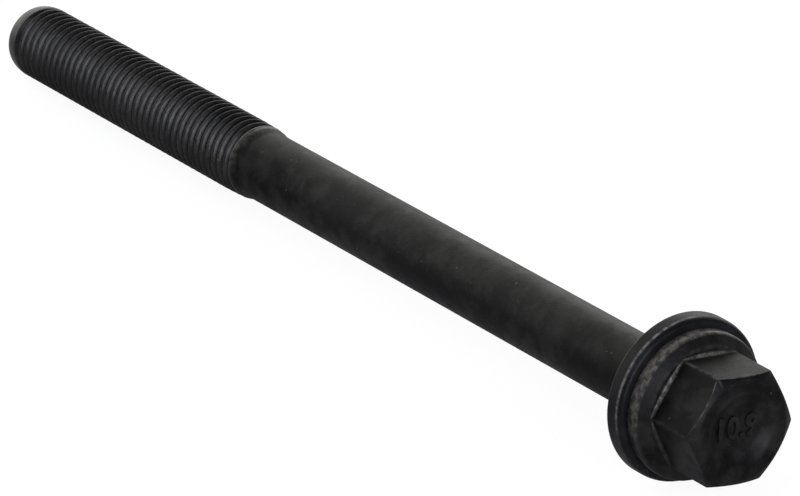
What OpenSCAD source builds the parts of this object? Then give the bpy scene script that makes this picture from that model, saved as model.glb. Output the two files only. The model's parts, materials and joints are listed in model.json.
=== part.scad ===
// Cylinder head bolt with a forged hexagon flange head, a rolled thread and a captive washer.
// It lies as it comes to rest: on the rim of the washer and on the outside of the thread near the tip.
// Upright, before it is laid down, the bearing face of the flange is at z = 0 and the head points up.

/* [Shank and thread] */
// Length from the bearing face of the flange to the tip
bolt_l = 163; // [130:1:220]
// Diameter of the plain shank
shank_d = 10; // [9:0.1:10.6]
// Outside diameter of the rolled thread
thread_d = 10.97; // [10.8:0.01:12.4]
// Length from the first full turn of the thread to the tip
thread_l = 60.7; // [20:0.1:100]
// Length over which the thread runs out into the shank
runout_l = 2.4; // [0.5:0.1:4]
// Length of the rounded end at the tip
tip_l = 2.8; // [1:0.1:4]
// Diameter of the flat end of the tip
tip_d = 9; // [6:0.1:9.6]

/* [Flange] */
// Diameter of the flange
flange_d = 20.6; // [18.5:0.1:21.4]
// Thickness of the flange at its edge
flange_t = 1.85; // [1.5:0.05:2.5]
// Slope of the upper face of the flange, in degrees
flange_slope = 30; // [15:1:38]
// Height from the bearing face to the flat land round the foot of the hexagon
land_h = 2.8; // [2.4:0.1:3.4]
// Rounding of the upper edge of the flange
flange_round = 0.7; // [0.2:0.1:1.1]
// Rounding of the lower edge of the flange
flange_relief = 0.3; // [0.1:0.05:0.4]
// Radius of the fillet between the flange and the shank
neck_r = 0.8; // [0.3:0.1:1.5]

/* [Hexagon] */
// Width across the flats
hex_w = 15; // [13:0.1:16]
// Height from the bearing face of the flange to the top of the head
head_h = 11.2; // [8:0.1:14]
// Rounding of the upright corners of the hexagon
hex_corner_r = 0.3; // [0.1:0.05:0.8]
// Diameter of the top face inside the corner chamfer
face_d = 14.2; // [12.6:0.1:14.8]
// Slope of the corner chamfer, in degrees
chamfer_slope = 30; // [15:1:35]
// Turn of the hexagon about the bolt's axis as the bolt lies, in degrees
hex_turn = 23; // [0:1:60]

/* [Dish in the top face] */
// Diameter of the dish at the top face
dish_d = 10.6; // [8:0.1:11.6]
// Diameter of the floor of the dish
dish_floor_d = 7; // [4:0.1:7.4]
// Depth of the dish
dish_depth = 1; // [0.4:0.1:1.6]
// Rounding of the lip of the dish
dish_lip_r = 0.6; // [0.2:0.1:1]

/* [Washer] */
// Outside diameter of the washer
washer_d = 22.9; // [22:0.1:26]
// Thickness of the washer
washer_t = 2.8; // [2:0.1:4]
// Gap all round between the shank and the bore of the washer, when the shank is in its middle
bore_gap = 0.25; // [0.15:0.01:0.3]
// Gap that is left under the shank, which lies low in the bore
seat_gap = 0.05; // [0.02:0.01:0.1]
// Height of the rounded upper edge that stamping leaves
roll_h = 1.3; // [0.4:0.1:1.6]
// Width of the rounded upper edge that stamping leaves
roll_w = 0.8; // [0.2:0.1:1]
// Bevel of the lower edges of the washer
washer_bevel = 0.2; // [0.1:0.05:0.4]

/* [Hidden] */
$fn = 96;
arc_steps = 8;

// Radii used in the turned profiles
shank_r = shank_d / 2;
thread_r = thread_d / 2;
tip_r = tip_d / 2;
flange_r = flange_d / 2;
face_r = face_d / 2;
dish_r = dish_d / 2;
dish_floor_r = dish_floor_d / 2;
washer_r = washer_d / 2;

// Heights along the upright bolt
thread_z = thread_l - bolt_l;
runout_z = thread_z + runout_l;
round_z = tip_l - bolt_l;

// The washer's bore clears the shank, and its countersink clears the fillet under the flange
bore_r = shank_r + bore_gap;
countersink_r = shank_r + neck_r + bore_gap;

// The washer stands on its rim, and the shank has dropped in its bore, so the washer sits high
washer_lift = bore_gap - seat_gap;

// Centre height of the arc that joins the flange's side to its sloping top
flange_arc_a = 90 - flange_slope;
flange_arc_rise = (1 - cos(flange_arc_a)) * tan(flange_slope) - sin(flange_arc_a);
flange_arc_z = flange_t + flange_round * flange_arc_rise;

// The sloping top of the flange rises to the edge of the land
land_r = flange_r - (land_h - flange_t) / tan(flange_slope);

// Slope of the dish's side, and how far its rounded lip reaches from the sharp corner
dish_slope = atan(dish_depth / (dish_r - dish_floor_r));
lip_reach = dish_lip_r * tan(dish_slope / 2);

// At rest the bolt leans on the lowest points of the washer's rim and of the thread's last full turn
rim_z = washer_bevel - washer_t;
rim_drop = washer_r - washer_lift;
lean = atan((rim_drop - thread_r) / (rim_z - round_z));
rest_h = rim_drop * cos(lean) - rim_z * sin(lean);
x_head = head_h * cos(lean) + face_r * sin(lean);
x_tip = -bolt_l * cos(lean) - tip_r * sin(lean);

// Points of an elliptical arc about a centre, from one angle to another
function arc(centre, rx, ry, from, to) = [
    for (i = [0:arc_steps])
        let (a = from + (to - from) * i / arc_steps)
        [centre[0] + rx * cos(a), centre[1] + ry * sin(a)]
];

// Lays an upright piece down along X, with the head at +X and the middle of the bolt over the origin
module lie_down() {
    translate([-(x_head + x_tip) / 2, 0, rest_h])
        rotate([0, 90 - lean, 0])
            children();
}

// Turns a profile about the axis, with its seam at the side, clear of the lines that the bolt lies on
module turn_profile() {
    rotate([0, 0, 90])
        rotate_extrude()
            children();
}

// Shank, thread blank, neck fillet and flange, turned about the axis
module turned_body() {
    turn_profile()
        polygon(concat(
            [[0, -bolt_l]],
            arc([tip_r, round_z], thread_r - tip_r, tip_l, -90, 0),
            [[thread_r, thread_z], [shank_r, runout_z]],
            arc([shank_r + neck_r, -neck_r], neck_r, neck_r, 180, 90),
            arc([flange_r - flange_relief, flange_relief], flange_relief, flange_relief, -90, 0),
            arc([flange_r - flange_round, flange_arc_z], flange_round, flange_round, 0, flange_arc_a),
            [[land_r, land_h], [0, land_h]]
        ));
}

// Outline of the hexagon with rounded corners, a corner towards each multiple of 60 degrees
module hexagon_outline() {
    corner_at = (hex_w / 2 - hex_corner_r) / cos(30);
    polygon([
        for (k = [0:5])
            each arc(
                [corner_at * cos(60 * k), corner_at * sin(60 * k)],
                hex_corner_r, hex_corner_r, 60 * k - 30, 60 * k + 30
            )
    ]);
}

// Hexagon whose top corners are cut back by a cone
module hexagon() {
    corner_r = hex_w;
    corner_z = head_h - (corner_r - face_r) * tan(chamfer_slope);
    intersection() {
        linear_extrude(head_h)
            hexagon_outline();
        rotate_extrude()
            polygon([
                [0, 0],
                [corner_r, 0],
                [corner_r, corner_z],
                [face_r, head_h],
                [0, head_h]
            ]);
    }
}

// Shallow dish that forging leaves in the top face, with a rounded lip
module dish() {
    lip_start = dish_r + lip_reach;
    rotate_extrude()
        polygon(concat(
            [[0, head_h - dish_depth], [dish_floor_r, head_h - dish_depth]],
            arc([lip_start, head_h - dish_lip_r], dish_lip_r, dish_lip_r, 90 + dish_slope, 90),
            [[lip_start, head_h + dish_depth], [0, head_h + dish_depth]]
        ));
}

// The whole bolt is one forging: head, flange, shank and thread blank
module bolt() {
    color([0.15, 0.15, 0.16])
        lie_down()
            difference() {
                union() {
                    turned_body();
                    rotate([0, 0, hex_turn])
                        hexagon();
                }
                dish();
            }
}

// Stamped washer, rounded above by the punch and countersunk to clear the neck
module washer() {
    color([0.19, 0.19, 0.2])
        lie_down()
            translate([-washer_lift, 0, 0])
                turn_profile()
                    polygon(concat(
                        [
                            [bore_r, bore_r - countersink_r],
                            [bore_r, washer_bevel - washer_t],
                            [bore_r + washer_bevel, -washer_t],
                            [washer_r - washer_bevel, -washer_t],
                            [washer_r, rim_z]
                        ],
                        arc([washer_r - roll_w, -roll_h], roll_w, roll_h, 0, 90),
                        [[countersink_r, 0]]
                    ));
}

bolt();
washer();
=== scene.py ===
# %% [markdown]
# A cylinder head bolt holds the head of an engine down on its block. It is one forging: a hexagon
# with a flange, a long plain shank and a thread rolled on its end. A thick washer turns loosely
# under the flange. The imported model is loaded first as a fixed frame, and every piece that is made
# here takes its place from it, in metres.

# %% Load the frame and keep the size of its box
import json
import math
import bmesh
import bpy
import numpy as np
from mathutils import Matrix, Vector


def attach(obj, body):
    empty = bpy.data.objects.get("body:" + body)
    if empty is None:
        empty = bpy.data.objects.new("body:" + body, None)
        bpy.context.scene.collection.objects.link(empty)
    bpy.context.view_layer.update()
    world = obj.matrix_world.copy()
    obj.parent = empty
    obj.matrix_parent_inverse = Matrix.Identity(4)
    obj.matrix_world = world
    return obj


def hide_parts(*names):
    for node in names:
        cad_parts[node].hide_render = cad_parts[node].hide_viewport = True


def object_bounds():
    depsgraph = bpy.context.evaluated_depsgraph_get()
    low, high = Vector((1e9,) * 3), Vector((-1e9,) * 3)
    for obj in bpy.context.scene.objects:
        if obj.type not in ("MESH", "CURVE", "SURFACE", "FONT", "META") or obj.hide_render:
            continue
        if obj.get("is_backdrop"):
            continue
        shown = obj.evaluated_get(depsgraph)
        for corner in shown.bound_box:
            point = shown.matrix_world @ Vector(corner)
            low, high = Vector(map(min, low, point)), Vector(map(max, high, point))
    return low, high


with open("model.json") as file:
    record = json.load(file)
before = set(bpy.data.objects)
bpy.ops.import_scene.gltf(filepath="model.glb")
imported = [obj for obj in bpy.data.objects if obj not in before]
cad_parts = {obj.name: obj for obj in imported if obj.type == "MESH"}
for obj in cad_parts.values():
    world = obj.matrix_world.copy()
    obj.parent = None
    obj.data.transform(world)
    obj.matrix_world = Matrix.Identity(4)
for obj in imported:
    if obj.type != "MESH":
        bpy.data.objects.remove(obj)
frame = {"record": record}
cad_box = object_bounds()
print("box of the frame in mm:", [[round(1000 * v, 2) for v in corner] for corner in cad_box])

# %% [markdown]
# A turned piece is far easier to draw upright, with its axis along Z, than lying on its side. So the
# bolt is drawn upright in millimetres, with the underside of the flange at z = 0 and the head
# pointing up, and one matrix then lays the finished mesh down where the frame has it. The frame's
# mount in the middle of the head's top face gives both the place and the direction.

# %% Lay an upright piece down
MM = 0.001
HEAD_H = 11.2
top_face = next(m for m in frame["record"]["mounts"] if m["name"] == "hex_drive")
axis = Vector(top_face["axis"]).normalized()
flange_centre = Vector(top_face["pos_m"]) - axis * HEAD_H * MM
side = Vector((0, 1, 0))
turn_down = Matrix((side.cross(axis), side, axis)).transposed()
lay_down = Matrix.Translation(flange_centre) @ turn_down.to_4x4() @ Matrix.Scale(MM, 4)
print("the bolt leans by", round(math.degrees(math.asin(axis.z)), 3), "degrees")

# %% [markdown]
# The view is from the head's end, from the right and from above, through a long lens that keeps the
# far end of the bolt almost as thick as the near one. The camera is placed by the point that it
# looks at, its distance from it and two angles.

# %% Place the camera
AZIMUTH, ELEVATION = math.radians(55.605), math.radians(24.981)
AIM = Vector((15.34, -4.34, 11.34)) * MM
DISTANCE = 882.16 * MM
FOCAL_LENGTH = 290.74

lens = bpy.data.cameras.new("long_lens")
lens.lens = FOCAL_LENGTH
lens.sensor_width = 36
lens.clip_end = 50
camera = bpy.data.objects.new("camera", lens)
bpy.context.scene.collection.objects.link(camera)
to_camera = Vector((
    math.sin(AZIMUTH) * math.cos(ELEVATION),
    -math.cos(AZIMUTH) * math.cos(ELEVATION),
    math.sin(ELEVATION),
))
camera.location = AIM + to_camera * DISTANCE
camera.rotation_mode = "QUATERNION"
camera.rotation_quaternion = (-to_camera).to_track_quat("-Z", "Y")
bpy.context.scene.camera = camera
bpy.context.scene.view_settings.view_transform = "Standard"
print("camera at", [round(v, 4) for v in camera.location])

# %% [markdown]
# Every material and node tree below is made of nodes that are added, set and joined in code. Two
# small helpers keep that readable: one adds any node, and one does arithmetic on two values.

# %% Helpers for node trees
def add(tree, kind, inputs=None, **settings):
    """A new node with its settings. Each input is given a value, or is joined to a socket."""
    made = tree.nodes.new(kind)
    for name, value in settings.items():
        setattr(made, name, value)
    for key, value in (inputs or {}).items():
        if isinstance(value, bpy.types.NodeSocket):
            tree.links.new(value, made.inputs[key])
        else:
            made.inputs[key].default_value = value
    return made


def maths(tree, operation, a, b=0.0, c=0.0, clamp=False):
    """One step of arithmetic on values or sockets."""
    node = add(tree, "ShaderNodeMath", {0: a, 1: b, 2: c}, operation=operation, use_clamp=clamp)
    return node.outputs[0]


def ease(tree, value, start, end, low=0.0, high=1.0, shape="SMOOTHSTEP"):
    """A value that goes from low to high as another goes from start to end."""
    node = add(
        tree, "ShaderNodeMapRange",
        {"Value": value, "From Min": start, "From Max": end, "To Min": low, "To Max": high},
        interpolation_type=shape,
    )
    return node.outputs[0]


# %% [markdown]
# A small dark part is photographed on white, in a room that is dim overhead and on the camera's side.
# Black steel hardly scatters light, so its form shows only in what it mirrors. The shank and the
# flats all mirror the same side of the room, beyond the tip: pale low down, where a white wall
# stands, and near black higher up. A smaller white card stands off the head end and lights the
# faces that look that way, and a wide dim one fills in from the left of the camera. All three are
# soft-edged parts of the world. Each has a border, given as two cosines of the angle from its middle:
# the light starts at the first and is full at the second. The camera itself sees the room as plain
# white.

# %% Light the bolt
DIM = 0.03
WALL, WALL_TOWARDS, WALL_BORDER = 1.75, Vector((-0.94, 0.34, 0.0)), (0.1, 0.65)
CARD, CARD_TOWARDS, CARD_BORDER = 7.0, Vector((0.95, -0.20, 0.20)), (0.87, 0.99)
FILL, FILL_TOWARDS, FILL_BORDER = 1.3, Vector((0.15, -0.60, 0.79)), (0.84, 0.98)
WALL_TOP = (0.95, 0.55)
WARM, COOL, PLAIN_WHITE = (1.0, 0.995, 0.97, 1.0), (0.88, 0.90, 1.0, 1.0), (1.0, 1.0, 1.0, 1.0)

world = bpy.data.worlds.new("studio")
world.use_nodes = True
bpy.context.scene.world = world
room = world.node_tree
room.nodes.clear()
direction = add(room, "ShaderNodeTexCoord").outputs["Generated"]
up = add(room, "ShaderNodeSeparateXYZ", {0: direction}).outputs["Z"]


def patch_of_light(towards, strength, border, full):
    """Light from the part of the room round a direction, with a border that fades."""
    towards = towards.normalized()
    near = add(room, "ShaderNodeVectorMath", {0: direction, 1: towards}, operation="DOT_PRODUCT")
    return ease(room, near.outputs["Value"], border, full, 0.0, strength)


wall = patch_of_light(WALL_TOWARDS, WALL, *WALL_BORDER)
wall = maths(room, "MULTIPLY", wall, ease(room, up, *WALL_TOP))
card = patch_of_light(CARD_TOWARDS, CARD, *CARD_BORDER)
fill = patch_of_light(FILL_TOWARDS, FILL, *FILL_BORDER)
warm_light = add(room, "ShaderNodeBackground", {"Color": WARM, "Strength": maths(room, "ADD", wall, DIM)})
card_and_fill = maths(room, "ADD", card, fill)
cool_light = add(room, "ShaderNodeBackground", {"Color": COOL, "Strength": card_and_fill})
light = add(room, "ShaderNodeAddShader", {0: warm_light.outputs[0], 1: cool_light.outputs[0]})
backdrop = add(room, "ShaderNodeBackground", {"Color": PLAIN_WHITE, "Strength": 1.0})
seen = add(room, "ShaderNodeLightPath").outputs["Is Camera Ray"]
whole_room = add(room, "ShaderNodeMixShader", {0: seen, 1: light.outputs[0], 2: backdrop.outputs[0]})
add(room, "ShaderNodeOutputWorld", {"Surface": whole_room.outputs[0]})
print("wall, card, fill and dim room:", WALL, CARD, FILL, DIM)

# %% [markdown]
# The floor is white to the camera, and it keeps a faint soft shadow: most of its whiteness to the
# camera is its own, and a part of it is light that the bolt can take away. In reflections it has
# almost no white of its own, because the lower sides of the bolt in the photo are nearly black.

# %% Make the floor
FLOOR_R = 6.0
OWN_WHITE = {"Is Camera Ray": 0.92, "Is Glossy Ray": 0.02, "Is Transmission Ray": 0.92}
CARD_WHITE = 0.62

white = bpy.data.materials.new("white_floor")
white.use_nodes = True
paint = white.node_tree
paint.nodes.clear()
path = add(paint, "ShaderNodeLightPath").outputs
own = 0.0
for ray, strength in OWN_WHITE.items():
    own = maths(paint, "MULTIPLY_ADD", path[ray], strength, own)
lit = maths(paint, "MULTIPLY_ADD", own, -0.5, CARD_WHITE)
shade = add(paint, "ShaderNodeCombineColor", {0: lit, 1: lit, 2: lit}).outputs[0]
paper = add(paint, "ShaderNodeBsdfDiffuse", {"Color": shade}).outputs[0]
glow = add(paint, "ShaderNodeEmission", {"Strength": own}).outputs[0]
glowing_paper = add(paint, "ShaderNodeAddShader", {0: paper, 1: glow}).outputs[0]
add(paint, "ShaderNodeOutputMaterial", {"Surface": glowing_paper})

disc = bmesh.new()
bmesh.ops.create_circle(disc, cap_ends=True, segments=64, radius=FLOOR_R)
floor_mesh = bpy.data.meshes.new("floor")
disc.to_mesh(floor_mesh)
disc.free()
floor_mesh.materials.append(white)
floor = bpy.data.objects.new("floor", floor_mesh)
bpy.context.scene.collection.objects.link(floor)
floor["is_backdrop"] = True
print("floor radius", FLOOR_R, "m")

# %% [markdown]
# The bolt's black is a phosphate coat with a film of oil: dark, a little mottled, rough at the scale
# of its crystals, and rubbed through to dull steel on edges. One function makes this finish and is
# used for the bolt and for the washer with other values. The pattern reads Object coordinates, which
# a Mapping node takes back to the upright bolt in millimetres, so that patterns can follow the axis.
# Edges are marked in a point attribute of the mesh, and the finish wears pale where it is high.
# The same attribute carries painted highlights too: a pale line along the concave foot of the
# hexagon, and a thin glint line round the washer's rolled edge. The pale wear is made strongest
# towards one side of each piece, the side that the light falls on, so there it is partly a painted
# highlight. A few small pale spots are painted glints as well as wear. The thread was pressed smooth
# by its dies, so it is shinier than the rest. Next to it, the shank has less sheen on its lower side
# towards the camera, which is painted shade.

# %% Make the finishes
def upright_place(tree):
    """The point on the upright bolt, in millimetres, of each point of the lying one."""
    place = add(tree, "ShaderNodeTexCoord").outputs["Object"]
    node = add(
        tree, "ShaderNodeMapping",
        {
            "Vector": place,
            "Location": flange_centre,
            "Rotation": turn_down.to_euler(),
            "Scale": (MM, MM, MM),
        },
        vector_type="TEXTURE",
    )
    return node.outputs[0]


def noise(tree, place, scale, detail=3.0, roughness=0.55, stretch=(1, 1, 1)):
    """Cloudy noise with a number of clouds to the millimetre, from 0 to 1."""
    moved = add(tree, "ShaderNodeMapping", {"Vector": place, "Scale": stretch}).outputs[0]
    node = add(
        tree, "ShaderNodeTexNoise",
        {"Vector": moved, "Scale": scale, "Detail": detail, "Roughness": roughness},
    )
    return node.outputs["Fac"]


def blend(tree, share, first, second):
    """A mix of two colours."""
    node = add(tree, "ShaderNodeMix", {0: share, 6: first, 7: second}, data_type="RGBA")
    return node.outputs[2]


ROLLED_BELOW = -101.2
ROLLED_ROUGHNESS, ROLLED_SHEEN, PLAIN_SHEEN = -0.12, 0.22, 0.1
# Painted shade: less sheen on the shank's lower side towards the camera, next to the thread.
SHADE_PATCH_FROM, SHADE_PATCH_TO, SHADE_PATCH_SIDE = -78.0, -94.0, (0.35, -0.94, 0.0)
SHADE_PATCH_SHEEN_CUT, SHADE_PATCH_EDGE = 0.055, 14.0
SHADED_SIDE_WEAR, LIT_SIDE_WEAR_AND_HIGHLIGHT = 0.15, 1.25
BUMP_HEIGHT = 0.06 * MM


def phosphate(name, black, grey, worn_and_glinting, highlight_towards, highlight_reach, matt, shiny):
    """Phosphated steel with mottling, grain, and edges that wear pale, with painted highlights.

    Its pale wear is made strongest towards a direction across the bolt, the side that the light
    falls on, so there it is partly a painted highlight. How far a point lies that way from the axis,
    in millimetres, is compared with two given values.
    """
    finish = bpy.data.materials.new(name)
    finish.use_nodes = True
    tree = finish.node_tree
    tree.nodes.clear()
    place = upright_place(tree)
    clouds = noise(tree, place, 0.35, 5.0, 0.6)
    grain = noise(tree, place, 4.0, 3.0, 0.6)
    wear_and_glint = add(tree, "ShaderNodeAttribute", attribute_name="wear_and_glint").outputs["Fac"]
    patchy = ease(tree, noise(tree, place, 1.1, 4.0, 0.6), 0.36, 0.68, 0.2, 1.0)
    # The pale wear grows towards one side, where the light falls: there it is partly a painted highlight.
    toward_lit_side = add(tree, "ShaderNodeVectorMath", {0: place, 1: highlight_towards}, operation="DOT_PRODUCT")
    lit_side_highlight = ease(tree, toward_lit_side.outputs["Value"], *highlight_reach, SHADED_SIDE_WEAR, LIT_SIDE_WEAR_AND_HIGHLIGHT)
    patchy = maths(tree, "MULTIPLY", patchy, lit_side_highlight)
    # Small pale spots scattered over the surface: painted glints as well as wear.
    glint_specks = ease(tree, noise(tree, place, 1.6, 1.0, 0.4), 0.765, 0.80, 0.0, 0.3)
    wear_and_highlight = maths(tree, "MULTIPLY_ADD", wear_and_glint, patchy, glint_specks, clamp=True)
    along = add(tree, "ShaderNodeSeparateXYZ", {0: place}).outputs["Z"]
    rolled = ease(tree, along, ROLLED_BELOW, ROLLED_BELOW - 1.0)
    smudges = noise(tree, place, 0.13, 3.0, 0.5, (1, 1, 0.5))
    cloudy = maths(tree, "MULTIPLY_ADD", smudges, 0.8, clouds)
    ragged = maths(tree, "SUBTRACT", along, SHADE_PATCH_EDGE / 2)
    ragged = maths(tree, "MULTIPLY_ADD", clouds, SHADE_PATCH_EDGE, ragged)
    mottle = ease(tree, maths(tree, "MULTIPLY_ADD", grain, 0.4, cloudy), 0.96, 1.28)
    colour = blend(tree, mottle, black, grey)
    colour = blend(tree, wear_and_highlight, colour, worn_and_glinting)
    dull = ease(tree, grain, 0.3, 0.7, matt - 0.06, matt + 0.06)
    dull = maths(tree, "MULTIPLY_ADD", mottle, -0.07, dull)
    dull = maths(tree, "MULTIPLY_ADD", rolled, ROLLED_ROUGHNESS, dull)
    # Painted shade: the sheen is cut, with a ragged edge, on the shank's lower side towards the camera.
    toward_shade_patch = add(tree, "ShaderNodeVectorMath", {0: place, 1: SHADE_PATCH_SIDE}, operation="DOT_PRODUCT")
    shade_patch = ease(tree, toward_shade_patch.outputs["Value"], -0.5, 2.5, 0.0, SHADE_PATCH_SHEEN_CUT)
    shade_patch = maths(tree, "MULTIPLY", shade_patch, ease(tree, ragged, SHADE_PATCH_FROM, SHADE_PATCH_TO))
    shade_patch = maths(tree, "MULTIPLY", shade_patch, maths(tree, "SUBTRACT", 1.0, rolled))
    sheen = maths(tree, "MULTIPLY_ADD", rolled, ROLLED_SHEEN, PLAIN_SHEEN)
    sheen = maths(tree, "SUBTRACT", sheen, shade_patch)
    roughness = maths(tree, "MULTIPLY_ADD", wear_and_highlight, shiny - matt, dull)
    relief = maths(tree, "MULTIPLY_ADD", clouds, 0.6, grain)
    bump = add(
        tree, "ShaderNodeBump", {"Strength": 0.5, "Distance": BUMP_HEIGHT, "Height": relief},
    ).outputs[0]
    metal = maths(tree, "MULTIPLY", wear_and_highlight, 0.6)
    shader = add(
        tree, "ShaderNodeBsdfPrincipled",
        {
            "Base Color": colour,
            "Metallic": metal,
            "Roughness": roughness,
            "Specular IOR Level": sheen,
            "Normal": bump,
        },
    )
    add(tree, "ShaderNodeOutputMaterial", {"Surface": shader.outputs[0]})
    return finish


# The bolt's pale wear is strongest on the side where the light falls, as a painted highlight.
bolt_black = phosphate(
    "bolt_black",
    black=(0.003, 0.003, 0.0032, 1),
    grey=(0.0155, 0.0148, 0.0138, 1),
    worn_and_glinting=(0.19, 0.18, 0.162, 1),
    highlight_towards=(-0.95, -0.3, 0.0),
    highlight_reach=(-1.0, 9.5),
    matt=0.46,
    shiny=0.36,
)
# The washer's pale wear is strongest towards its upper left, where it makes a painted glint.
washer_black = phosphate(
    "washer_black",
    black=(0.006, 0.006, 0.0068, 1),
    grey=(0.013, 0.013, 0.0145, 1),
    worn_and_glinting=(0.32, 0.31, 0.30, 1),
    highlight_towards=(-0.76, -0.65, 0.0),
    highlight_reach=(4.0, 11.3),
    matt=0.40,
    shiny=0.30,
)
print("finishes:", bolt_black.name, washer_black.name)

# %% [markdown]
# The thread is rolled: dies press a helix into the blank and push its metal up into the crests, which
# is why the thread stands proud of the shank. It could be cut with a boolean, or made with a Screw
# modifier, but both leave its ends open or ragged. Here Geometry Nodes bend a flat grid round the
# axis instead. Each row of the grid is one line of the helix, and it climbs by one pitch in a turn,
# so the crest, flanks and root each follow the mesh exactly. Rows that would pass either end of the
# thread gather on its last ring, and there the form of the thread has faded away.

# %% Sizes of the thread
BOLT_L, THREAD_L, RUNOUT_L = 163.0, 60.7, 2.4
SHANK_R, CREST_R, ROOT_R, TIP_R = 5.0, 5.485, 4.565, 4.5
TIP_L = 2.8
PITCH = 1.5
LAST_CREST_DROP = 0.08
COLUMNS = 120
ROWS_A_TURN = 12
HEX_TURN = 23.0
ROOT_ENDS, CREST_STARTS = 0.16, 0.875
CREST_RUB, LAST_TURN_RUB = 0.2, 0.5
thread_sizes = {
    "Columns": COLUMNS + 1,
    "Rows a Turn": ROWS_A_TURN,
    "Pitch": PITCH,
    "Top": THREAD_L - BOLT_L + RUNOUT_L,
    "Bottom": -BOLT_L,
    "Shank Radius": SHANK_R,
    "Crest Radius": CREST_R,
    "Root Radius": ROOT_R,
    "Tip Radius": TIP_R,
    "Tip Length": TIP_L,
    "Run-out": RUNOUT_L,
    "Turned by": math.radians(HEX_TURN),
}
print("thread of", THREAD_L / PITCH, "turns")


# %% Build the thread's node tree
def rolled_thread_tree(finish):
    """A node tree that makes the thread from its sizes."""
    tree = bpy.data.node_groups.new("rolled_thread", "GeometryNodeTree")
    for label, value in thread_sizes.items():
        kind = "NodeSocketInt" if isinstance(value, int) else "NodeSocketFloat"
        tree.interface.new_socket(label, in_out="INPUT", socket_type=kind)
    tree.interface.new_socket("Geometry", in_out="OUTPUT", socket_type="NodeSocketGeometry")
    size = add(tree, "NodeGroupInput").outputs

    def m(operation, a, b=0.0, c=0.0, clamp=False):
        return maths(tree, operation, a, b, c, clamp)

    # The grid has a row for each step along the helix, and one turn more than the thread is long
    length = m("SUBTRACT", size["Top"], size["Bottom"])
    turns = m("ADD", m("DIVIDE", length, size["Pitch"]), 1.0)
    rows = m("ADD", m("CEIL", m("MULTIPLY", turns, size["Rows a Turn"])), 1.0)
    grid = add(
        tree, "GeometryNodeMeshGrid",
        {"Size X": 1.0, "Size Y": 1.0, "Vertices X": size["Columns"], "Vertices Y": rows},
    )
    spot = add(tree, "GeometryNodeInputPosition").outputs[0]
    flat = add(tree, "ShaderNodeSeparateXYZ", {0: spot}).outputs
    across = m("ADD", flat["X"], 0.5)
    row = m("ROUND", m("MULTIPLY", m("SUBTRACT", 0.5, flat["Y"]), m("SUBTRACT", rows, 1.0)))

    # Height of each point, held between the ends of the thread
    turn = m("DIVIDE", row, size["Rows a Turn"])
    climb = m("MULTIPLY", m("SUBTRACT", across, turn), size["Pitch"])
    height = m("ADD", size["Top"], climb)
    height = m("MAXIMUM", m("MINIMUM", height, size["Top"]), size["Bottom"])

    # Form of the thread: a triangle wave with its crest and root cut off
    wave = m("ABSOLUTE", m("MULTIPLY_ADD", m("FRACT", turn), 2.0, -1.0))
    form = ease(tree, wave, ROOT_ENDS, CREST_STARTS, shape="LINEAR")
    depth = m("SUBTRACT", size["Crest Radius"], size["Root Radius"])
    groove = m("MULTIPLY", depth, m("SUBTRACT", 1.0, form))
    above_end = m("SUBTRACT", height, size["Bottom"])
    tip_l = size["Tip Length"]
    kept = ease(tree, above_end, m("MULTIPLY", tip_l, 0.9), m("MULTIPLY", tip_l, 1.5))
    groove = m("MULTIPLY", groove, kept)
    below_top = m("SUBTRACT", size["Top"], height)
    runout_l = size["Run-out"]
    started = ease(tree, below_top, m("MULTIPLY", runout_l, 0.6), m("MULTIPLY", runout_l, 1.5))
    groove = m("MULTIPLY", groove, started)

    # The round end of the tip is a quarter of an ellipse
    into_tip = m("SUBTRACT", 1.0, m("DIVIDE", above_end, size["Tip Length"]), clamp=True)
    bulge = m("SQRT", m("SUBTRACT", 1.0, m("MULTIPLY", into_tip, into_tip)))
    tip_rise = m("SUBTRACT", size["Crest Radius"], size["Tip Radius"])
    blank = m("MULTIPLY_ADD", bulge, tip_rise, size["Tip Radius"])
    radius = m("SUBTRACT", blank, groove)

    # At the top the last crests are lower, and the thread runs out into the shank without a groove
    full = ease(tree, below_top, 0.0, runout_l)
    unfilled = ease(tree, below_top, runout_l, m("MULTIPLY", runout_l, 2.5), LAST_CREST_DROP, 0.0)
    radius = m("SUBTRACT", radius, unfilled)
    thread_share = m("MULTIPLY", full, m("SUBTRACT", radius, size["Shank Radius"]))
    radius = m("ADD", size["Shank Radius"], thread_share)

    angle = m("MULTIPLY_ADD", across, math.tau, size["Turned by"])
    point = add(
        tree, "ShaderNodeCombineXYZ",
        {
            "X": m("MULTIPLY", radius, m("COSINE", angle)),
            "Y": m("MULTIPLY", radius, m("SINE", angle)),
            "Z": height,
        },
    ).outputs[0]

    # The crests are rubbed a little, and the last turn more
    crest = m("MULTIPLY", m("POWER", form, 3.0), CREST_RUB)
    last_turn = ease(tree, below_top, runout_l, m("MULTIPLY", runout_l, 1.6), LAST_TURN_RUB, 0.0)
    last_turn = m("MULTIPLY", full, last_turn)
    wear_and_glint = m("ADD", m("MULTIPLY", m("MULTIPLY", crest, started), kept), last_turn)
    marked = add(
        tree, "GeometryNodeStoreNamedAttribute",
        {"Geometry": grid.outputs["Mesh"], "Name": "wear_and_glint", "Value": wear_and_glint},
        data_type="FLOAT", domain="POINT",
    ).outputs[0]
    bent = add(tree, "GeometryNodeSetPosition", {"Geometry": marked, "Position": point}).outputs[0]
    welded = add(tree, "GeometryNodeMergeByDistance", {"Geometry": bent, "Distance": 0.002}).outputs[0]
    real = add(tree, "GeometryNodeRealizeInstances", {"Geometry": welded}).outputs[0]
    coated = add(tree, "GeometryNodeSetMaterial", {"Geometry": real, "Material": finish}).outputs[0]
    add(tree, "NodeGroupOutput", {"Geometry": coated})
    return tree


# %% Turn the tree into a plain mesh
def plain_mesh(piece):
    """The mesh of a piece with its modifiers applied."""
    evaluated = piece.evaluated_get(bpy.context.evaluated_depsgraph_get())
    return bpy.data.meshes.new_from_object(evaluated)


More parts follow.
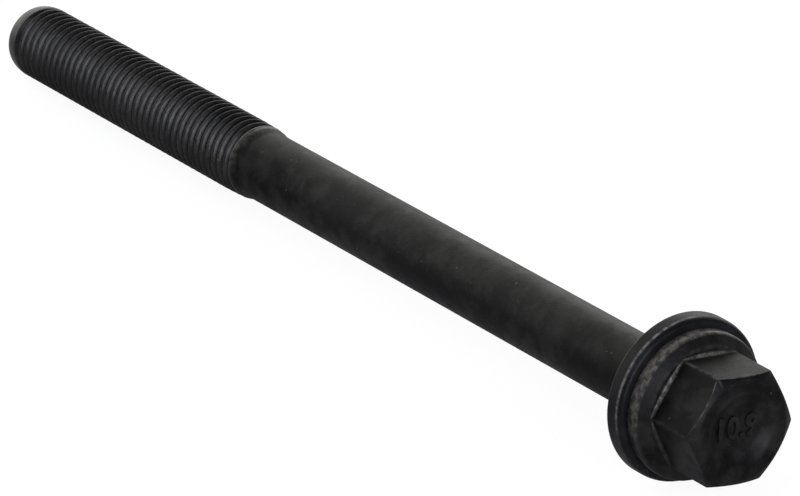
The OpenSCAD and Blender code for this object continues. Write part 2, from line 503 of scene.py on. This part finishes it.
def run_tree(tree, sizes):
    """The mesh that a tree makes from these sizes."""
    carrier = bpy.data.objects.new(tree.name, bpy.data.meshes.new(tree.name))
    bpy.context.scene.collection.objects.link(carrier)
    modifier = carrier.modifiers.new(tree.name, "NODES")
    modifier.node_group = tree
    for socket in tree.interface.items_tree:
        if socket.in_out == "INPUT":
            modifier[socket.identifier] = sizes[socket.name]
    mesh = plain_mesh(carrier)
    carrier.modifiers.remove(modifier)
    bpy.data.objects.remove(carrier)
    return mesh


thread_mesh = run_tree(rolled_thread_tree(bolt_black), thread_sizes)
print("thread:", len(thread_mesh.vertices), "points and", len(thread_mesh.polygons), "faces")

# %% [markdown]
# The shank and the head follow one outline that is turned about the axis. Only the hexagon isn't
# round, so the outline is worked out for each of the columns round the bolt: on the hexagon its
# radius depends on the angle. The outline is a short list of corners, and each corner says how far
# its rounding reaches along its two sides. The columns crowd together at the six corners of the
# hexagon, to give them their small radius, and are even again on the shank, to meet the thread.

# %% Columns round the bolt
HEX_R = 15.0 / 2
HEX_CORNER_R = 0.3
SECTOR = math.radians(60)
HALF = COLUMNS // 12
corner_centre = (HEX_R - HEX_CORNER_R) / math.cos(SECTOR / 2)
arc_angle = math.atan2(
    HEX_CORNER_R * math.sin(SECTOR / 2), corner_centre + HEX_CORNER_R * math.cos(SECTOR / 2)
)
ARC_COLUMNS = 3

crowded = []
for i in range(HALF + 1):
    past_arc = max(0, i - ARC_COLUMNS) / (HALF - ARC_COLUMNS)
    on_arc = min(i, ARC_COLUMNS) / ARC_COLUMNS
    crowded.append(arc_angle * on_arc + (SECTOR / 2 - arc_angle) * past_arc ** 1.7)
one_sector = crowded[:-1] + [SECTOR - a for a in reversed(crowded[1:])]
start = math.radians(HEX_TURN)
crowded_angle = np.array([start + SECTOR * k + a for k in range(6) for a in one_sector])
even_angle = start + np.arange(COLUMNS) * math.tau / COLUMNS

from_corner = np.abs((crowded_angle - start + SECTOR / 2) % SECTOR - SECTOR / 2)
on_flat = HEX_R / np.cos(SECTOR / 2 - from_corner)
reach = np.sqrt(np.maximum(HEX_CORNER_R ** 2 - (corner_centre * np.sin(from_corner)) ** 2, 0))
hexagon_r = np.where(from_corner <= arc_angle, corner_centre * np.cos(from_corner) + reach, on_flat)
corner_share = np.clip(1 - from_corner / (2 * arc_angle), 0, 1)
across_flats, across_corners = round(2 * hexagon_r.min(), 2), round(2 * hexagon_r.max(), 2)
print("hexagon", across_flats, "mm across flats,", across_corners, "across corners")


# %% Outline with rounded corners
def corner(
    r, z, reach=0.0, after=None, steps=1, parts=1, crowd=1.0, upright=0.0, wear_and_glint=0.0, side=0.0,
):
    """A corner of the outline at a radius and height.

    Its rounding reaches back along the side before it and on along the side after it, in so many
    steps, and the rest of the side after it is in so many parts. The rounding is made pale by the
    value given for it, that side by the value for the side, and the corners of the hexagon by upright.
    This paleness is wear, and at the foot of the hexagon it is a painted highlight as well.
    """
    ones = np.ones(COLUMNS)
    place = np.array([r * ones, z * ones, crowd * ones, upright * ones])
    after = reach if after is None else after
    sizes = {"reach": reach, "after": after, "steps": steps, "parts": parts}
    return {"place": place, **sizes, "wear_and_glint": wear_and_glint, "side": side}


def towards_corner(a, b, distance):
    """The point at a distance from corner a on the side to corner b."""
    length = np.hypot(*(b["place"] - a["place"])[:2])
    return a["place"] + (b["place"] - a["place"]) * (distance / np.maximum(length, 1e-9))


def outline_rows(corners):
    """Every row of points of an outline, and how pale each row is made by wear and painted highlights."""
    rows, wear_and_glints = [], []
    for i, c in enumerate(corners):
        if c["steps"] > 1:
            first = towards_corner(c, corners[i - 1], c["reach"])
            last = towards_corner(c, corners[(i + 1) % len(corners)], c["after"])
            before = corners[i - 1]["side"]
            for s in np.linspace(0, 1, c["steps"] + 1):
                rows.append((1 - s) ** 2 * first + 2 * s * (1 - s) * c["place"] + s ** 2 * last)
                wear_and_glints.append(before + (c["side"] - before) * s + c["wear_and_glint"] * 4 * s * (1 - s))
        else:
            rows.append(c["place"])
            wear_and_glints.append(c["wear_and_glint"])
        if c["parts"] > 1:
            following = corners[(i + 1) % len(corners)]
            end = towards_corner(following, c, following["reach"])
            begin = rows[-1]
            for s in np.arange(1, c["parts"]) / c["parts"]:
                rows.append(begin + (end - begin) * s)
                wear_and_glints.append(c["side"])
    return np.array(rows), np.array(wear_and_glints)


# %% Skin an outline
def skin(rows, wear_and_glints, pole=None, closed=False):
    """Points, faces, and the wear and painted highlights of the surface that an outline makes round the
    axis.
    """
    radius, height, crowd, upright = rows.transpose(1, 0, 2)
    angle = even_angle + (crowded_angle - even_angle) * crowd
    points = np.stack([radius * np.cos(angle), radius * np.sin(angle), height], axis=2).reshape(-1, 3)
    worn_and_glinting = np.maximum(wear_and_glints[:, None] * np.ones(COLUMNS), upright * corner_share).reshape(-1)
    count = len(rows)
    faces = []
    for i in range(count if closed else count - 1):
        here, there = i * COLUMNS, (i + 1) % count * COLUMNS
        for k in range(COLUMNS):
            n = (k + 1) % COLUMNS
            faces.append((here + k, here + n, there + n, there + k))
    if pole is not None:
        centre = len(points)
        points = np.vstack([points, (0.0, 0.0, pole)])
        worn_and_glinting = np.append(worn_and_glinting, 0.0)
        last = (count - 1) * COLUMNS
        faces += [(last + k, last + (k + 1) % COLUMNS, centre) for k in range(COLUMNS)]
    return points, faces, worn_and_glinting


# %% [markdown]
# The outline of the shank and head goes up from the thread: the shank, the fillet under the flange,
# the bearing face, the flange's edge, its sloping top, the side of the hexagon, the cone that cuts
# its corners back, the top face and the dish that the forging punch leaves in it.

# %% Outline of the shank and head
NECK_R = 0.8
FLANGE_R, FLANGE_T, FLANGE_ROUND, FLANGE_RELIEF = 10.3, 1.85, 0.7, 0.3
FLANGE_SLOPE = math.radians(30)
LAND_H = 2.8
FOOT_REACH = 0.55
FACE_R = 7.1
CHAMFER_SLOPE = math.radians(30)
DISH_R, DISH_FLOOR_R, DISH_DEPTH = 5.3, 3.5, 1.0

flange_turn = math.pi / 2 - FLANGE_SLOPE
flange_reach = FLANGE_ROUND * math.tan(flange_turn / 2)
land_r = FLANGE_R - (LAND_H - FLANGE_T) / math.tan(FLANGE_SLOPE)
land_w = np.maximum(land_r - hexagon_r, 0.02)
foot_reach = np.minimum(FOOT_REACH, 0.5 * land_w)
chamfer_z = HEAD_H - (hexagon_r - FACE_R) * math.tan(CHAMFER_SLOPE)
shank_and_head = [
    corner(SHANK_R, THREAD_L - BOLT_L + RUNOUT_L, crowd=0, parts=30),
    corner(SHANK_R, 0, NECK_R, steps=5, crowd=0, parts=4),
    corner(FLANGE_R, 0, FLANGE_RELIEF, steps=3, parts=3, wear_and_glint=0.2, side=0.75),
    corner(FLANGE_R, FLANGE_T, flange_reach, steps=6, parts=5, wear_and_glint=0.3, side=0.02),
    corner(land_r, LAND_H, np.minimum(0.4, 0.45 * land_w), steps=3, wear_and_glint=0.1),
    # The pale line along the concave foot of the hexagon is a painted highlight as well as wear.
    corner(hexagon_r, LAND_H, foot_reach, FOOT_REACH, steps=5, parts=6, upright=0.3, wear_and_glint=1.1),
    corner(hexagon_r, chamfer_z, 0.14, steps=3, upright=0.3, wear_and_glint=0.6),
    corner(FACE_R, HEAD_H, 0.14, steps=3, parts=4, wear_and_glint=0.05),
    corner(DISH_R, HEAD_H, 0.45, steps=5, parts=3, wear_and_glint=0.05),
    corner(DISH_FLOOR_R, HEAD_H - DISH_DEPTH, 0.4, steps=5, parts=4),
    corner(0.8, HEAD_H - DISH_DEPTH),
]
tip_end = [
    corner(TIP_R, -BOLT_L, crowd=0, parts=4),
    corner(0.8, -BOLT_L, crowd=0),
]
head_rows, head_wear_and_glint = outline_rows(shank_and_head)
head_part = skin(head_rows, head_wear_and_glint, pole=HEAD_H - DISH_DEPTH)
tip_part = skin(*outline_rows(tip_end), pole=-BOLT_L)
print("outline of", len(head_rows), "rows by", COLUMNS, "columns")


# %% [markdown]
# The thread, the shank and head, and the flat end of the tip are now welded on the rings that they
# share, into one closed mesh. A Weighted Normal modifier then lets the large flats keep their own
# direction of light, so that only the narrow roundings between them shade as curves.

# %% Weld meshes into one closed piece
WELD = 0.004


def mesh_parts(mesh):
    """Points, faces, and the wear and painted highlights of a mesh."""
    points = np.array([v.co for v in mesh.vertices])
    faces = [tuple(p.vertices) for p in mesh.polygons]
    worn_and_glinting = np.zeros(len(points), np.float32)
    mesh.attributes["wear_and_glint"].data.foreach_get("value", worn_and_glinting)
    return points, faces, worn_and_glinting


def weld(name, parts, finish):
    """One closed piece of several parts, laid down in its place, with its faces outwards."""
    points, faces, worn_and_glinting = [], [], []
    for part_points, part_faces, part_worn_and_glinting in parts:
        first = sum(len(p) for p in points)
        points.append(part_points)
        faces += [tuple(first + v for v in face) for face in part_faces]
        worn_and_glinting.append(part_worn_and_glinting)
    mesh = bpy.data.meshes.new(name)
    mesh.from_pydata(np.vstack(points).tolist(), [], faces)
    wear_and_glint = mesh.attributes.new("wear_and_glint", "FLOAT", "POINT")
    wear_and_glint.data.foreach_set("value", np.concatenate(worn_and_glinting).astype(np.float32))
    shape = bmesh.new()
    shape.from_mesh(mesh)
    bmesh.ops.remove_doubles(shape, verts=shape.verts, dist=WELD)
    bmesh.ops.recalc_face_normals(shape, faces=shape.faces)
    open_edges = sum(1 for e in shape.edges if len(e.link_faces) != 2)
    volume = shape.calc_volume()
    for face in shape.faces:
        face.smooth = True
    shape.to_mesh(mesh)
    shape.free()
    mesh.transform(lay_down)
    mesh.materials.append(finish)
    piece = bpy.data.objects.new(name, mesh)
    bpy.context.scene.collection.objects.link(piece)
    modifier = piece.modifiers.new("flats_lead", "WEIGHTED_NORMAL")
    modifier.weight = 50
    piece.data = plain_mesh(piece)
    piece.modifiers.remove(modifier)
    triangles = sum(len(p.vertices) - 2 for p in piece.data.polygons)
    print(name, "triangles", triangles, "open edges", open_edges, "volume mm3", round(volume, 1))
    return piece


bolt = weld("bolt_forging", [mesh_parts(thread_mesh), head_part, tip_part], bolt_black)
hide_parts("bolt")
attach(bolt, "bolt")

# %% [markdown]
# The floor of the dish carries the bolt's strength class, raised by the forging punch. It is the
# plain number that every bolt of this strength has. A text object gives the outlines of the digits,
# and it is made a mesh before it is placed.

# %% Raise the strength number
NUMBER = "10.9"
NUMBER_W, NUMBER_H, NUMBER_RISE, NUMBER_RUB = 6.3, 3.4, 0.34, 0.15
NUMBER_TILT = math.radians(-5)
NUMBER_CENTRE = Vector((-0.33, -0.1, HEAD_H - DISH_DEPTH))

text = bpy.data.curves.new("strength_number", "FONT")
text.body = NUMBER
text.resolution_u = 4
text.offset = 0.012
text.extrude = 0.03
text.bevel_depth = 0.03
text.bevel_resolution = 2
carrier = bpy.data.objects.new("strength_number_text", text)
bpy.context.scene.collection.objects.link(carrier)
number_mesh = plain_mesh(carrier)
bpy.data.objects.remove(carrier)
spots = np.array([v.co for v in number_mesh.vertices])
low, high = spots.min(0), spots.max(0)
size = high - low
fit = Matrix.Diagonal((NUMBER_W / size[0], NUMBER_H / size[1], 2 * NUMBER_RISE / size[2], 1))
centre_it = Matrix.Translation(-Vector((low + high) / 2))
on_face = Matrix(((0, -1, 0), (1, 0, 0), (0, 0, 1))).to_4x4()
place_it = Matrix.Translation(NUMBER_CENTRE) @ on_face @ Matrix.Rotation(NUMBER_TILT, 4, "Z")
number_mesh.transform(lay_down @ place_it @ fit @ centre_it)
tidy = bmesh.new()
tidy.from_mesh(number_mesh)
bmesh.ops.remove_doubles(tidy, verts=tidy.verts, dist=0.000001)
bmesh.ops.recalc_face_normals(tidy, faces=tidy.faces)
for face in tidy.faces:
    face.smooth = True
tidy.to_mesh(number_mesh)
tidy.free()
wear_and_glint = number_mesh.attributes.new("wear_and_glint", "FLOAT", "POINT")
wear_and_glint.data.foreach_set("value", np.full(len(number_mesh.vertices), NUMBER_RUB, np.float32))
number_mesh.materials.clear()
number_mesh.materials.append(bolt_black)
number = bpy.data.objects.new("strength_number", number_mesh)
bpy.context.scene.collection.objects.link(number)
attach(number, "bolt")
print("number of", len(number_mesh.polygons), "faces")

# %% [markdown]
# The washer is stamped from thick strip. The punch leaves the edge that it enters widely rounded,
# and the other edge has only a small bevel. Its bore is narrower than the thread, so it was put on
# before the thread was rolled and can't come off. Round its rolled edge runs a thin pale line, a
# painted glint where the rounding catches the light.

# %% Turn the washer
WASHER_R, WASHER_T, BORE_R = 11.45, 2.8, 5.25
WASHER_LIFT = 0.2
COUNTERSINK_R = SHANK_R + NECK_R + 0.25
ROLL_H, ROLL_W, BEVEL = 1.3, 0.8, 0.2
# A painted glint: a thin pale line round the washer's rolled edge, at this height and width.
GLINT_LINE_Z, GLINT_LINE_W, GLINT_LINE_STRENGTH = -0.8, 0.15, 0.85

washer_outline = [
    corner(BORE_R, BORE_R - COUNTERSINK_R, 0.1, steps=2, crowd=0, parts=3),
    corner(BORE_R, -WASHER_T, BEVEL, steps=3, crowd=0, parts=6, wear_and_glint=0.5),
    corner(WASHER_R, -WASHER_T, BEVEL, steps=4, crowd=0, parts=5, wear_and_glint=0.4),
    corner(WASHER_R, 0, ROLL_H, ROLL_W, steps=12, crowd=0, parts=6),
    corner(COUNTERSINK_R, 0, 0.1, steps=2, crowd=0, parts=2),
]
ring_rows, ring_rubs = outline_rows(washer_outline)
ring_r, ring_z = ring_rows[:, 0, 0], ring_rows[:, 1, 0]
# The painted glint line is added to the washer's edge wear.
on_glint_line = np.exp(-((ring_z - GLINT_LINE_Z) / GLINT_LINE_W) ** 2) * (ring_r > WASHER_R - ROLL_W)
ring_points, ring_faces, ring_wear_and_glint = skin(ring_rows, ring_rubs + GLINT_LINE_STRENGTH * on_glint_line, closed=True)
ring_points -= (WASHER_LIFT, 0, 0)
washer = weld("stamped_washer", [(ring_points, ring_faces, ring_wear_and_glint)], washer_black)
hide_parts("washer")
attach(washer, "washer")
print("washer", 2 * WASHER_R, "by", WASHER_T, "mm with a bore of", 2 * BORE_R)

# %% Print the boxes of the frame and the pieces, and finish
made_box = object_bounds()
for label, box in (("frame", cad_box), ("pieces", made_box)):
    print(label, [[round(1000 * v, 3) for v in c] for c in box])
